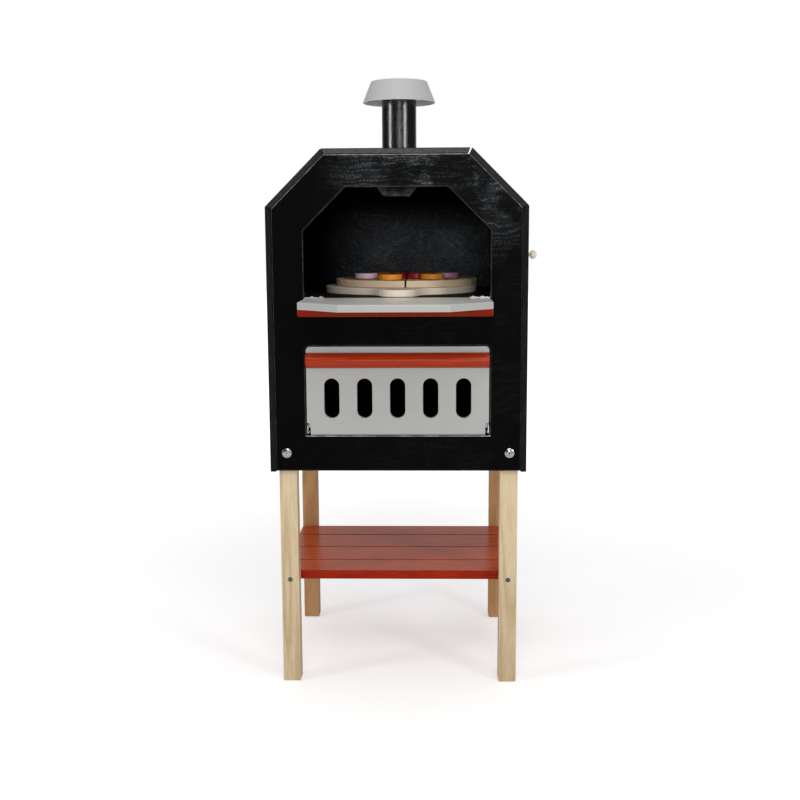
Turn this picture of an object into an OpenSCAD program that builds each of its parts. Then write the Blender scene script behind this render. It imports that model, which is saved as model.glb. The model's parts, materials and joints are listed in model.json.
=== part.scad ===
// Play oven on four legs: a mitred plywood casing with two drop-down doors on
// pivot hinges, a capped chimney, a grooved shelf held between the legs, and a
// sliced play pizza that lies loose on its paddle inside the oven.

/* [Casing] */
// Width of the casing across its side panels
body_w = 400; // [380:5:440]
// Depth of the casing from front face to back face
body_d = 350; // [345:5:420]
// Thickness of every casing panel
panel_t = 9; // [8:0.5:10]
// Height of the legs, from the floor to the base panel
leg_h = 395.2; // [300:5:450]
// How far the front and back panels hang below the base panel
skirt_drop = 45.5; // [35:0.5:60]
// How much lower the side panels reach than the front and back panels
side_drop = 1.5; // [0:0.5:4]
// Clear height from the base panel to the top of the oven floor
store_h = 215.5; // [205:0.5:260]
// Height of the side panels above the oven floor
shoulder_h = 138.5; // [125:0.5:180]
// Run of each roof slope, across and upwards
slope_run = 86; // [78:1:100]
// Width of the open joint at the right-hand end of the roof panel
roof_gap = 2.6; // [0.5:0.1:4]

/* [Doorways] */
// Width of both doorways
doorway_w = 286; // [260:2:300]
// Height of the oven doorway
oven_doorway_h = 177.9; // [160:0.1:186]
// Size of the 45 degree corners at the top of the oven doorway
doorway_corner = 65; // [40:1:75]
// Height of the store doorway
store_doorway_h = 141.1; // [125:0.1:150]
// Height of the store doorway's sill above the base panel
store_sill = 1.1; // [0.5:0.1:4]
// Corner radius at the top of the store doorway
store_corner_r = 7.5; // [5:0.5:15]

/* [Doors] */
// Thickness of both doors
door_t = 10.5; // [9.5:0.5:12]
// Gap between a door and the sides and top of its doorway
door_gap = 1.5; // [1.3:0.1:2.5]
// Height by which an open door clears the sill under it
sill_gap = 0.4; // [0.3:0.1:0.8]
// Number of vent slots in the store door
slot_count = 5; // [1:1:5]
// Distance between the vent slots
slot_pitch = 51.1; // [40:0.1:53]
// Width of a vent slot
slot_w = 23.6; // [12:0.1:30]
// Height of a vent slot
slot_h = 62.4; // [40:0.1:70]
// Height of the slots' centres above the store door's pivot
slot_z = 53.35; // [50:0.05:60]

/* [Handles] */
// Width of the half-round handles
handle_w = 24; // [18:1:30]
// Height by which the handles stand off their doors
handle_d = 11.5; // [9:0.5:12]
// Height of the oven door's handle above its pivot
oven_handle_z = 95.25; // [60:0.25:140]
// Height of the store door's handle above its pivot
store_handle_z = 112.75; // [105:0.25:118]

/* [Hinges] */
// Diameter of the hinge pins
pin_d = 3; // [2.5:0.1:3.4]
// Thickness of the folded bracket on the door
bracket_t = 1.5; // [1:0.1:2]
// Length of the bracket's leaf along the door
leaf_len = 30.5; // [26:0.5:40]
// Height of the bracket's leaf
leaf_h = 8; // [7:0.5:10]
// Radius of the bracket's ear round the pin
ear_r = 4; // [3:0.1:4.4]
// Depth to which the pins are pressed into the front panel
pin_grip = 9.5; // [6:0.5:14]

/* [Chimney] */
// Outside diameter of the chimney pipe
pipe_d = 56.8; // [40:0.1:70]
// Wall of the chimney pipe
pipe_wall = 3.5; // [2.5:0.1:6]
// Height of the cap's rim above the roof
cap_rise = 83.9; // [50:0.1:120]
// Height of the chimney cap
cap_h = 34; // [20:0.5:60]
// Diameter of the cap at its rim
cap_rim_d = 119.2; // [95:0.2:150]
// Diameter of the cap at its top
cap_top_d = 91.8; // [80:0.2:94]
// Wall of the cap
cap_wall = 3; // [2:0.1:5]
// Distance of the chimney's centre behind the front face
chimney_y = 174; // [120:1:220]

/* [Legs and shelf] */
// Width of a leg across the oven
leg_w = 28; // [24:1:34]
// Width of a leg from front to back
leg_d = 27; // [24:1:34]
// Gap between a leg and the side panel beside it
leg_side_gap = 3.3; // [0.3:0.1:8]
// Height of the shelf's top above the floor
shelf_z = 177.6; // [80:0.2:260]
// Thickness of the shelf
shelf_t = 14.4; // [12:0.2:20]
// Distance between the shelf's grooves
groove_pitch = 78; // [30:1:85]
// Corner radius of the shelf
shelf_corner_r = 8; // [3:1:20]
// Height of the leg bolts above the lower edge of the front panel
bolt_rise = 28.5; // [20:0.5:32]
// Diameter of the leg bolts
bolt_d = 6; // [4:0.5:8]

/* [Peg] */
// Diameter of the turned peg's head
peg_d = 13; // [9:0.5:20]
// How far the peg stands out of the side panel
peg_len = 15; // [12:0.5:30]
// Height of the peg above the oven floor
peg_z = 64; // [20:1:100]
// Distance of the peg behind the front face
peg_y = 30; // [20:1:200]

/* [Pizza] */
// Diameter of the paddle's disc
paddle_d = 254; // [200:1:256]
// Thickness of the paddle and of the pizza slices
paddle_t = 11; // [6:0.5:15]
// Width of the paddle's handle tab
tab_w = 58; // [40:1:80]
// Diameter of the whole pizza
pizza_d = 240; // [180:2:240]
// Number of slices
slice_count = 6; // [6:1:6]
// Gap between two slices
slice_gap = 2.4; // [0.4:0.1:3]
// Diameter of the topping disc near the crust
topping_d = 39; // [20:0.5:39]
// Diameter of the topping disc near the tip
inner_topping_d = 31; // [16:0.5:31]
// Thickness of a topping disc
topping_t = 8.5; // [3:0.5:12]

/* [Hidden] */
$fn = 64;

// Clearances: between panels, at glued faces, at pins and dowels, round bolts
fit_gap = 0.3;
glue_gap = 0.1;
run_gap = 0.05;
bolt_gap = 0.1;
over = 1;                     // how far a cutter reaches past the face it opens

// Heights and widths of the casing
mitre = tan(22.5);
half_w = body_w / 2;
base_z = leg_h + fit_gap;
base_top = base_z + panel_t;
skirt_z = base_z - skirt_drop;
side_z = skirt_z - side_drop;
floor_top = base_top + store_h;
shoulder_z = floor_top + shoulder_h;
roof_z = shoulder_z + slope_run;
roof_half = half_w - slope_run;
inner_half = half_w - panel_t - fit_gap;
back_y = body_d - panel_t;
bolt_z = skirt_z + bolt_rise;

// Doorways and doors; a door turns about the centre of its rounded lower edge
doorway_half = doorway_w / 2;
door_half = doorway_half - door_gap;
pivot_y = door_t / 2;
oven_sill_z = floor_top - door_t - sill_gap;
oven_lintel_z = oven_sill_z + oven_doorway_h;
oven_pivot_z = oven_sill_z + sill_gap + door_t / 2;
oven_door_h = oven_lintel_z - door_gap - oven_pivot_z;
store_sill_z = base_top + store_sill;
store_lintel_z = store_sill_z + store_doorway_h;
store_pivot_z = store_sill_z + sill_gap + door_t / 2;
store_door_h = store_lintel_z - door_gap - store_pivot_z;
floor_front = door_t + sill_gap;

// Handles, each held by hidden dowels
handle_flat = handle_w / 2 - handle_d;
dowel_d = 6;
dowel_depth = 8;
dowel_spread = 220;

// Hinges, measured from the pivot axis
plate_t = door_gap - fit_gap;
plate_inset = 0.25;
plate_x = doorway_half - plate_t;
plate_margin = 1.25;
plate_w = panel_t - plate_margin - plate_inset;
plate_y = panel_t - plate_inset - plate_w / 2;
plate_low = door_t / 2 - plate_inset;
leaf_low = door_t / 2 + plate_inset;
leaf_top = leaf_low + leaf_h;
leaf_gap = 1;
ear_lean = 3;
plate_top = leaf_top + 2 * plate_inset;
plate_screw_z = (plate_top + pin_d) / 2 + 2 * plate_inset;
pin_head_d = 5.5;
pin_head_t = 1.2;
washer_gap = 0.2;
pin_head_x = door_half - bracket_t - washer_gap;
notch_play = 2.6;
notch_w = bracket_t + washer_gap + pin_head_t + notch_play;
notch_top = leaf_top + leaf_gap;
leaf_screws = [11.5, 25.5];   // from the door's side edge
screw_d = 2.5;
screw_head_d = 5;
screw_head_t = 1.6;
screw_len = 8;
plate_screw_len = 9;
plate_screw_head_d = 4.6;

// Door stops behind the lintels
stop_half = 20;
stop_drop = 13.8;
stop_h = 24.3;
stop_lean = 19.5;
stop_step = 1.5;    // the stop clears the door up to here above the lintel
stop_t = 9.2;

// Chimney
pipe_r = pipe_d / 2;
flange_w = 12;
cap_z = roof_z + cap_rise;
cap_top_t = 3.8;
spigot_h = 12;
spigot_bevel = 1;
pipe_low = roof_z - panel_t - glue_gap - panel_t;
pipe_high = cap_z + cap_h - cap_top_t - fit_gap;

// Legs, bolts and shelf
leg_x = half_w - panel_t - leg_side_gap - leg_w / 2;
foot_bevel = 1.5;
front_leg_y = panel_t + glue_gap;
rear_leg_y = back_y - glue_gap - leg_d;
bolt_head_d = 15;
bolt_head_t = 3;
bolt_len = 30;
bolt_end_gap = 1;
nut_d = 10;
nut_len = 16;
nut_depth = 15;
shelf_screw_d = 4;
shelf_screw_head_d = 8.5;
shelf_screw_bite = 19;
screw_end_gap = 1;
groove_w = 2.4;
groove_depth = 1.6;
cleat = 12;

// Peg
peg_stem_d = 6;
peg_depth = 7;
peg_head_len = 9.5;

// Pizza on its paddle; the paddle is pushed in until the oven door can close
paddle_x = 2;
paddle_back_gap = 24;
paddle_y = back_y - paddle_d / 2 - paddle_back_gap;
tab_gap = 1.3;
tab_front = door_t + tab_gap;
tab_flat = 4;
tab_corner_r = (tab_w - tab_flat) / 2;
tab_neck_r = 40;
pizza_x = 11;
pizza_back_gap = 16;
pizza_y = back_y - pizza_d / 2 - pizza_back_gap;
topping_apart = 1;
topping_turn = 8;   // degrees from the slice's middle
topping_in = inner_topping_d / 2 / sin(180 / slice_count) + slice_gap;
topping_out = topping_in + (topping_d + inner_topping_d) / 2 + topping_apart;

// The origin is on the floor, in the middle of the whole object's outline
origin_x = -peg_len / 2;
origin_y = -(body_d + bolt_head_t + pivot_y - oven_door_h) / 2;

stain = [0.10, 0.10, 0.11];
door_paint = [0.70, 0.70, 0.68];
red_paint = [0.66, 0.17, 0.08];
pine = [0.80, 0.70, 0.55];
ply = [0.86, 0.76, 0.60];
beech = [0.90, 0.83, 0.68];
metal = [0.72, 0.72, 0.74];
topping_colours = [
    [0.93, 0.55, 0.12], [0.62, 0.40, 0.55], [0.55, 0.30, 0.22],
    [0.72, 0.36, 0.16], [0.88, 0.66, 0.76], [0.93, 0.55, 0.12]
];

// ---- shared forms ----

// Puts the casing's own frame, with its front face at Y 0, into the part's frame
module place() translate([origin_x, origin_y, 0]) children();

// A flat outline drawn in X and Z, given a thickness backwards from y
module board(y, t) translate([0, y + t, 0]) rotate([90, 0, 0]) linear_extrude(t) children();

module both_sides() {
    children();
    mirror([1, 0, 0]) children();
}

// A round bar along X from x, or along Y from y
module bar_x(x, len, d) translate([x, 0, 0]) rotate([0, 90, 0]) cylinder(h = len, d = d);
module bar_y(y, len, d) translate([0, y, 0]) rotate([-90, 0, 0]) cylinder(h = len, d = d);

// Inside outline of the casing, drawn in by inset from its outer faces
module casing_section(inset) {
    side = half_w - inset;
    shoulder = shoulder_z - inset * mitre;
    ridge = roof_half - inset * mitre;
    polygon([
        [-side, skirt_z], [side, skirt_z], [side, shoulder],
        [ridge, roof_z - inset], [-ridge, roof_z - inset], [-side, shoulder]
    ]);
}

// Upright outline with 45 degree top corners
module cornered(half, low, high, corner) {
    polygon([
        [-half, low], [half, low], [half, high - corner],
        [half - corner, high], [corner - half, high], [-half, high - corner]
    ]);
}

// Upright outline with rounded top corners
module rounded_top(half, low, high, r) {
    translate([-half, low]) square([2 * half, high - r - low]);
    translate([r - half, low]) square([2 * (half - r), high - low]);
    for (s = [-1, 1]) translate([s * (half - r), high - r]) circle(r);
}

// Pan-head screw along -Z, its head standing on Z 0, with a cross recess
module pan_screw(head_d, head_t, d, len) {
    difference() {
        union() {
            rotate_extrude() polygon([
                [0, 0], [head_d / 2, 0], [head_d / 2, head_t * 0.45],
                [head_d * 0.36, head_t * 0.85], [head_d * 0.22, head_t], [0, head_t]
            ]);
            translate([0, 0, -len]) cylinder(h = len, d = d);
        }
        for (turn = [45, 135]) {
            rotate([0, 0, turn]) translate([-head_d * 0.27, -head_d * 0.06, head_t * 0.4])
                cube([head_d * 0.54, head_d * 0.12, head_t]);
        }
    }
}

// Countersunk screw along -Z, its head flush with Z 0
module flush_screw(head_d, d, len) {
    sink = (head_d - d) / 2;
    rotate_extrude() polygon([
        [0, 0], [head_d / 2, 0], [d / 2, -sink], [d / 2, -len + d / 2], [0, -len]
    ]);
}

// The hole that a countersunk screw needs
module flush_hole(head_d, d, len) {
    sink = (head_d - d) / 2;
    rotate_extrude() polygon([
        [0, over], [head_d / 2 + over, over], [head_d / 2 + run_gap, 0],
        [d / 2 + run_gap, -sink], [d / 2 + run_gap, -len], [0, -len]
    ]);
}

// ---- casing ----

module hinge_holes(pivot_z) {
    both_sides() translate([0, 0, pivot_z]) {
        translate([0, pivot_y, 0])
            bar_x(doorway_half - over, pin_grip + over + fit_gap, pin_d + run_gap);
        translate([0, plate_y, plate_screw_z])
            bar_x(doorway_half - over, plate_screw_len + over, screw_d + 2 * run_gap);
    }
}

module leg_bolt_holes(y) {
    both_sides() translate([leg_x, 0, bolt_z]) bar_y(y - over, panel_t + 2 * over, bolt_d + 2 * bolt_gap);
}

module front_panel() {
    color(stain) place() difference() {
        board(0, panel_t) difference() {
            casing_section(panel_t + fit_gap);
            cornered(doorway_half, oven_sill_z, oven_lintel_z, doorway_corner);
            rounded_top(doorway_half, store_sill_z, store_lintel_z, store_corner_r);
        }
        hinge_holes(oven_pivot_z);
        hinge_holes(store_pivot_z);
        leg_bolt_holes(0);
    }
}

module back_panel() {
    color(stain) place() difference() {
        board(back_y, panel_t) casing_section(panel_t + fit_gap);
        leg_bolt_holes(back_y);
    }
}

module side_outline() {
    polygon([
        [half_w - panel_t, side_z], [half_w, side_z],
        [half_w, shoulder_z], [half_w - panel_t, shoulder_z - panel_t * mitre]
    ]);
}

module left_side_panel() {
    color(stain) place() mirror([1, 0, 0]) board(0, body_d) side_outline();
}

module right_side_panel() {
    color(stain) place() difference() {
        board(0, body_d) side_outline();
        translate([0, peg_y, floor_top + peg_z])
            bar_x(half_w - peg_depth, peg_depth + over, peg_stem_d + 2 * run_gap);
    }
}

// The slope's mitred ends are drawn in by the thickness of the glue
module slope_outline() {
    glue = glue_gap / sqrt(2);
    polygon([
        [half_w - glue, shoulder_z + glue],
        [roof_half + glue, roof_z - glue],
        [roof_half - panel_t * mitre + glue, roof_z - panel_t - glue],
        [half_w - panel_t - glue, shoulder_z - panel_t * mitre + glue]
    ]);
}

module left_slope_panel() {
    color(stain) place() mirror([1, 0, 0]) board(0, body_d) slope_outline();
}

module right_slope_panel() {
    color(stain) place() board(0, body_d) slope_outline();
}

module roof_panel() {
    inner = roof_half - panel_t * mitre;
    color(stain) place() difference() {
        board(0, body_d) polygon([
            [-roof_half, roof_z], [roof_half - roof_gap, roof_z],
            [inner - roof_gap, roof_z - panel_t], [-inner, roof_z - panel_t]
        ]);
        translate([0, chimney_y, roof_z - panel_t - over])
            cylinder(h = panel_t + 2 * over, r = pipe_r + fit_gap);
    }
}

// A level board that fills the casing from y_front back to the back panel
module level_board(y_front, top) {
    translate([-inner_half, y_front, top - panel_t])
        cube([2 * inner_half, back_y - fit_gap - y_front, panel_t]);
}

module base_panel() {
    color(stain) place() level_board(panel_t + fit_gap, base_top);
}

module oven_floor() {
    color(stain) place() level_board(floor_front, floor_top);
}

module floor_cleats() {
    length = back_y - 2 * cleat - panel_t;
    color(pine) place() both_sides()
        translate([inner_half + fit_gap - glue_gap - cleat, panel_t + cleat,
                   floor_top - panel_t - glue_gap - cleat])
            cube([cleat, length, cleat]);
}

// A block behind the lintel; its lower part stands clear of the closed door
module door_stop(lintel_z) {
    low = lintel_z - stop_drop;
    outline = [
        [-stop_half, low], [stop_half, low],
        [stop_half + stop_lean, low + stop_h], [-stop_half - stop_lean, low + stop_h]
    ];
    difference() {
        board(panel_t + glue_gap, door_t + fit_gap - panel_t - glue_gap + stop_t) polygon(outline);
        translate([-half_w, 0, low - over])
            cube([body_w, door_t + fit_gap, lintel_z + stop_step - low + over]);
    }
}

module oven_door_stop() {
    color(stain) place() door_stop(oven_lintel_z);
}

module store_door_stop() {
    color(stain) place() door_stop(store_lintel_z);
}

// ---- doors, drawn standing closed with the pivot axis along X through 0, 0 ----

module oven_pose() translate([0, pivot_y, oven_pivot_z]) rotate([90, 0, 0]) children();
module store_pose() translate([0, pivot_y, store_pivot_z]) children();

module dowel_places(z) {
    for (x = [-dowel_spread / 2, 0, dowel_spread / 2]) translate([x, 0, z]) children();
}

// Slab with a full-round lower edge; children give its outline above the axis
module door_slab(handle_z) {
    leaf_z = (leaf_low + leaf_top) / 2;
    difference() {
        union() {
            board(-door_t / 2, door_t) children();
            bar_x(-door_half, 2 * door_half, door_t);
        }
        both_sides() {
            translate([door_half - notch_w, -door_t, -door_t])
                cube([notch_w + over, 2 * door_t, door_t + notch_top]);
            for (x = leaf_screws) translate([door_half - x, 0, leaf_z])
                bar_y(door_t / 2 - screw_len, screw_len + over, screw_d + 2 * run_gap);
        }
        dowel_places(handle_z)
            bar_y(-door_t / 2 - over, dowel_depth + over + fit_gap, dowel_d + 2 * run_gap);
    }
}

// Half-round handle on the door's front face
module handle(z) {
    translate([0, 0, z]) difference() {
        intersection() {
            translate([0, -door_t / 2 - glue_gap + handle_flat, 0])
                bar_x(-door_half, 2 * door_half, handle_w);
            translate([-doorway_w, -door_t / 2 - glue_gap - handle_w, -handle_w])
                cube([2 * doorway_w, handle_w, 2 * handle_w]);
        }
        dowel_places(0)
            bar_y(-door_t / 2 - dowel_depth - fit_gap, dowel_depth + over, dowel_d + 2 * run_gap);
    }
}

module handle_dowels(z) {
    dowel_places(z) bar_y(-door_t / 2 - dowel_depth, 2 * dowel_depth, dowel_d);
}

// Folded bracket: a leaf on the door's inner face and an ear round the pin
module hinge_bracket() {
    inner = door_t / 2;
    leaf_z = (leaf_low + leaf_top) / 2;
    difference() {
        union() {
            translate([door_half - leaf_len, inner + glue_gap, leaf_low])
                cube([leaf_len, bracket_t, leaf_h]);
            bar_x(door_half - bracket_t, bracket_t, 2 * ear_r);
            translate([door_half - bracket_t, 0, 0]) rotate([90, 0, 90])
                linear_extrude(bracket_t) polygon([
                    [ear_r * cos(30), -ear_r * sin(30)], [inner, leaf_low],
                    [inner + glue_gap + bracket_t, leaf_low], [inner + glue_gap + bracket_t, leaf_top],
                    [inner - ear_lean, leaf_top], [-ear_r * cos(30), ear_r * sin(30)]
                ]);
        }
        bar_x(door_half - bracket_t - over, bracket_t + 2 * over, pin_d + 2 * run_gap);
        for (x = leaf_screws) translate([door_half - x, 0, leaf_z])
            bar_y(inner, bracket_t + over, screw_d + 2 * run_gap);
    }
}

module bracket_screws() {
    leaf_z = (leaf_low + leaf_top) / 2;
    head_y = door_t / 2 + 2 * glue_gap + bracket_t;
    both_sides() for (x = leaf_screws) translate([door_half - x, head_y, leaf_z])
        rotate([-90, 0, 0]) pan_screw(screw_head_d, screw_head_t, screw_d, screw_len);
}

// Plate let into the gap beside the door, screwed to the jamb
module hinge_plate(pivot_z) {
    difference() {
        translate([plate_x, plate_y - plate_w / 2, pivot_z - plate_low])
            cube([plate_t - glue_gap, plate_w, plate_low + plate_top]);
        translate([0, pivot_y, pivot_z]) bar_x(plate_x - over, plate_t + 2 * over, pin_d + 2 * run_gap);
        translate([plate_x, plate_y, pivot_z + plate_screw_z]) rotate([0, -90, 0])
            flush_hole(plate_screw_head_d, screw_d, plate_screw_len);
    }
}

module hinge_pin(pivot_z) {
    translate([0, pivot_y, pivot_z]) {
        bar_x(pin_head_x - pin_head_t, pin_head_t, pin_head_d);
        bar_x(pin_head_x - pin_head_t / 2, doorway_half + pin_grip - pin_head_x + pin_head_t / 2, pin_d);
    }
}

module plate_screw(pivot_z) {
    translate([plate_x, plate_y, pivot_z + plate_screw_z]) rotate([0, -90, 0])
        flush_screw(plate_screw_head_d, screw_d, plate_screw_len);
}

module oven_door() {
    corner = doorway_corner - door_gap * (2 - sqrt(2));
    color(door_paint) place() oven_pose() door_slab(oven_handle_z)
        cornered(door_half, 0, oven_door_h, corner);
}

module oven_door_handle() {
    color(red_paint) place() oven_pose() handle(oven_handle_z);
}

module oven_handle_dowels() {
    color(beech) place() oven_pose() handle_dowels(oven_handle_z);
}

module oven_hinge_brackets() {
    color(metal) place() oven_pose() both_sides() hinge_bracket();
}

module oven_bracket_screws() {
    color(metal) place() oven_pose() bracket_screws();
}

module oven_hinge_plates() {
    color(metal) place() both_sides() hinge_plate(oven_pivot_z);
}

module oven_hinge_pins() {
    color(metal) place() both_sides() hinge_pin(oven_pivot_z);
}

module oven_plate_screws() {
    color(metal) place() both_sides() plate_screw(oven_pivot_z);
}

module vent_slot() {
    reach = (slot_h - slot_w) / 2;
    translate([-slot_w / 2, -reach]) square([slot_w, 2 * reach]);
    for (s = [-1, 1]) translate([0, s * reach]) circle(d = slot_w);
}

module store_door() {
    color(door_paint) place() store_pose() difference() {
        door_slab(store_handle_z)
            rounded_top(door_half, 0, store_door_h, store_corner_r - door_gap);
        board(-door_t, 2 * door_t)
            for (i = [0 : slot_count - 1])
                translate([(i - (slot_count - 1) / 2) * slot_pitch, slot_z]) vent_slot();
    }
}

module store_door_handle() {
    color(red_paint) place() store_pose() handle(store_handle_z);
}

module store_handle_dowels() {
    color(beech) place() store_pose() handle_dowels(store_handle_z);
}

module store_hinge_brackets() {
    color(metal) place() store_pose() both_sides() hinge_bracket();
}

module store_bracket_screws() {
    color(metal) place() store_pose() bracket_screws();
}

module store_hinge_plates() {
    color(metal) place() both_sides() hinge_plate(store_pivot_z);
}

module store_hinge_pins() {
    color(metal) place() both_sides() hinge_pin(store_pivot_z);
}

module store_plate_screws() {
    color(metal) place() both_sides() plate_screw(store_pivot_z);
}

// ---- chimney and peg ----

module chimney_pipe() {
    color(stain) place() translate([0, chimney_y, pipe_low]) difference() {
        cylinder(h = pipe_high - pipe_low, r = pipe_r);
        translate([0, 0, -over]) cylinder(h = pipe_high - pipe_low + 2 * over, r = pipe_r - pipe_wall);
    }
}

// Ring under the roof that the pipe is glued into
module chimney_flange() {
    color(stain) place() translate([0, chimney_y, pipe_low]) difference() {
        cylinder(h = panel_t, r = pipe_r + flange_w);
        translate([0, 0, -over]) cylinder(h = panel_t + 2 * over, r = pipe_r + glue_gap);
    }
}

// Hollow tapered cap, seated on the pipe's end by a spigot
module chimney_cap() {
    rim_r = cap_rim_d / 2;
    top_r = cap_top_d / 2;
    spigot_r = pipe_r - pipe_wall - glue_gap;
    under = cap_h - cap_top_t;
    spigot_low = under - spigot_h;
    color(door_paint) place() translate([0, chimney_y, cap_z]) rotate_extrude() polygon([
        [0, cap_h], [0, spigot_low], [spigot_r - spigot_bevel, spigot_low],
        [spigot_r, spigot_low + spigot_bevel], [spigot_r, under], [top_r - cap_wall, under],
        [rim_r - cap_wall, 0], [rim_r, 0], [top_r, cap_h]
    ]);
}

// Turned peg: a stem glued into the side panel and a ball head
module side_peg() {
    head_r = peg_d / 2;
    centre = peg_depth + peg_len - head_r;
    color(beech) place() translate([half_w - peg_depth + glue_gap, peg_y, floor_top + peg_z])
        rotate([0, 90, 0]) translate([0, 0, -glue_gap]) rotate_extrude() {
            translate([0, glue_gap]) square([peg_stem_d / 2, centre - glue_gap]);
            intersection() {
                translate([0, centre]) circle(r = head_r);
                translate([0, peg_depth + peg_len - peg_head_len]) square([peg_d, peg_head_len]);
            }
        }
}

// ---- legs and shelf ----

// One leg standing on the floor, its outer-front corner towards +X and -Y
module leg() {
    half = leg_w / 2;
    difference() {
        intersection() {
            board(0, leg_d) polygon([
                [-half, foot_bevel], [foot_bevel - half, 0], [half - foot_bevel, 0],
                [half, foot_bevel], [half, leg_h], [-half, leg_h]
            ]);
            translate([-half, 0, 0]) rotate([90, 0, 90]) linear_extrude(leg_w) polygon([
                [0, foot_bevel], [foot_bevel, 0], [leg_d - foot_bevel, 0],
                [leg_d, foot_bevel], [leg_d, leg_h], [0, leg_h]
            ]);
        }
        translate([0, 0, bolt_z]) bar_y(-over, bolt_len - panel_t + over + bolt_end_gap, bolt_d + 2 * bolt_gap);
        translate([0, nut_depth, bolt_z]) bar_x(-half - over, over + (leg_w + nut_len) / 2 + fit_gap,
                                                nut_d + 2 * run_gap);
        translate([0, 0, shelf_z - shelf_t / 2]) rotate([90, 0, 0])
            flush_hole(shelf_screw_head_d, shelf_screw_d, leg_d + over);
    }
}

module front_leg() place() translate([leg_x, front_leg_y, 0]) children();
module rear_leg() place() translate([leg_x, rear_leg_y + leg_d, 0]) mirror([0, 1, 0]) children();

module leg_front_left() {
    color(pine) place() mirror([1, 0, 0]) translate([leg_x, front_leg_y, 0]) leg();
}

module leg_front_right() {
    color(pine) front_leg() leg();
}

module leg_rear_left() {
    color(pine) place() mirror([1, 0, 0]) translate([leg_x, rear_leg_y + leg_d, 0])
        mirror([0, 1, 0]) leg();
}

module leg_rear_right() {
    color(pine) rear_leg() leg();
}

module leg_bolt() {
    rotate([90, 0, 0]) pan_screw(bolt_head_d, bolt_head_t, bolt_d, bolt_len);
}

module front_leg_bolts() {
    color(metal) place() both_sides() translate([leg_x, 0, bolt_z]) leg_bolt();
}

module rear_leg_bolts() {
    color(metal) place() both_sides() translate([leg_x, body_d, bolt_z]) mirror([0, 1, 0]) leg_bolt();
}

// Cross-drilled nut that the bolt screws into, inside the leg
module barrel_nut() {
    translate([leg_x, nut_depth, bolt_z]) difference() {
        bar_x(-nut_len / 2, nut_len, nut_d);
        bar_y(-nut_d, 2 * nut_d, bolt_d + 2 * run_gap);
    }
}

module leg_barrel_nuts() {
    color(metal) place() both_sides() {
        translate([0, front_leg_y, 0]) barrel_nut();
        translate([0, rear_leg_y + leg_d, 0]) mirror([0, 1, 0]) barrel_nut();
    }
}

module shelf() {
    half = leg_x + leg_w / 2;
    front = front_leg_y + leg_d + glue_gap;
    depth = rear_leg_y - glue_gap - front;
    r = shelf_corner_r;
    color(red_paint) place() translate([0, front, shelf_z - shelf_t]) difference() {
        linear_extrude(shelf_t) {
            translate([-half, r]) square([2 * half, depth - 2 * r]);
            translate([r - half, 0]) square([2 * (half - r), depth]);
            for (x = [r - half, half - r], y = [r, depth - r]) translate([x, y]) circle(r);
        }
        for (i = [-1, 0, 1]) translate([-half - over, depth / 2 + i * groove_pitch - groove_w / 2,
                                        shelf_t - groove_depth])
            cube([2 * (half + over), groove_w, groove_depth + over]);
        for (x = [-leg_x, leg_x], y = [0, depth]) translate([x, y, shelf_t / 2])
            rotate([-90, 0, 0]) cylinder(h = 2 * (shelf_screw_bite + screw_end_gap), d = shelf_screw_d + 2 * run_gap,
                                         center = true);
    }
}

module shelf_screws() {
    z = shelf_z - shelf_t / 2;
    length = leg_d + shelf_screw_bite;
    color(metal) place() both_sides() {
        translate([leg_x, front_leg_y, z]) rotate([90, 0, 0])
            flush_screw(shelf_screw_head_d, shelf_screw_d, length);
        translate([leg_x, rear_leg_y + leg_d, z]) rotate([-90, 0, 0])
            flush_screw(shelf_screw_head_d, shelf_screw_d, length);
    }
}

// ---- pizza ----

// Concave fillet where the tab runs into the disc, drawn for +X
module tab_fillet() {
    r = paddle_d / 2;
    x = tab_w / 2 + tab_neck_r;
    y = sqrt(pow(r + tab_neck_r, 2) - x * x);
    touch = r / (r + tab_neck_r);
    difference() {
        polygon([[0, 0], [0, -y], [x, -y], [x * touch, -y * touch]]);
        translate([x, -y]) circle(tab_neck_r);
    }
}

module pizza_paddle() {
    length = paddle_y - tab_front;
    half = tab_w / 2;
    r = tab_corner_r;
    color(ply) place() translate([paddle_x, paddle_y, floor_top + glue_gap])
        linear_extrude(paddle_t - glue_gap) {
            circle(d = paddle_d, $fn = 128);
            translate([-half, r - length]) square([tab_w, length - r]);
            translate([r - half, -length]) square([tab_w - 2 * r, length]);
            for (s = [-1, 1]) translate([s * (half - r), r - length]) circle(r);
            tab_fillet();
            mirror([1, 0]) tab_fillet();
        }
}

// Direction of slice i's middle; the first cut faces the doorway
function slice_turn(i) = -90 + (i + 0.5) * 360 / slice_count;

module pizza_frame() {
    place() translate([pizza_x, pizza_y, floor_top + paddle_t + glue_gap]) children();
}

module pizza_slice(i) {
    half_turn = 180 / slice_count;
    apex = slice_gap / 2 / sin(half_turn);
    color(ply) pizza_frame() rotate([0, 0, slice_turn(i)]) linear_extrude(paddle_t) intersection() {
        circle(d = pizza_d, $fn = 128);
        translate([apex, 0]) polygon([
            [0, 0], [pizza_d * cos(half_turn), -pizza_d * sin(half_turn)],
            [pizza_d * cos(half_turn), pizza_d * sin(half_turn)]
        ]);
    }
}

// Two discs on slice i: a coloured one near the crust and a red one near the tip
module topping(i) {
    pizza_frame() translate([0, 0, paddle_t + glue_gap]) rotate([0, 0, slice_turn(i)]) {
        color(topping_colours[i]) rotate([0, 0, topping_turn]) translate([topping_out, 0, 0])
            cylinder(h = topping_t, d = topping_d);
        color(red_paint) translate([topping_in, 0, 0]) cylinder(h = topping_t, d = inner_topping_d);
    }
}

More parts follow.
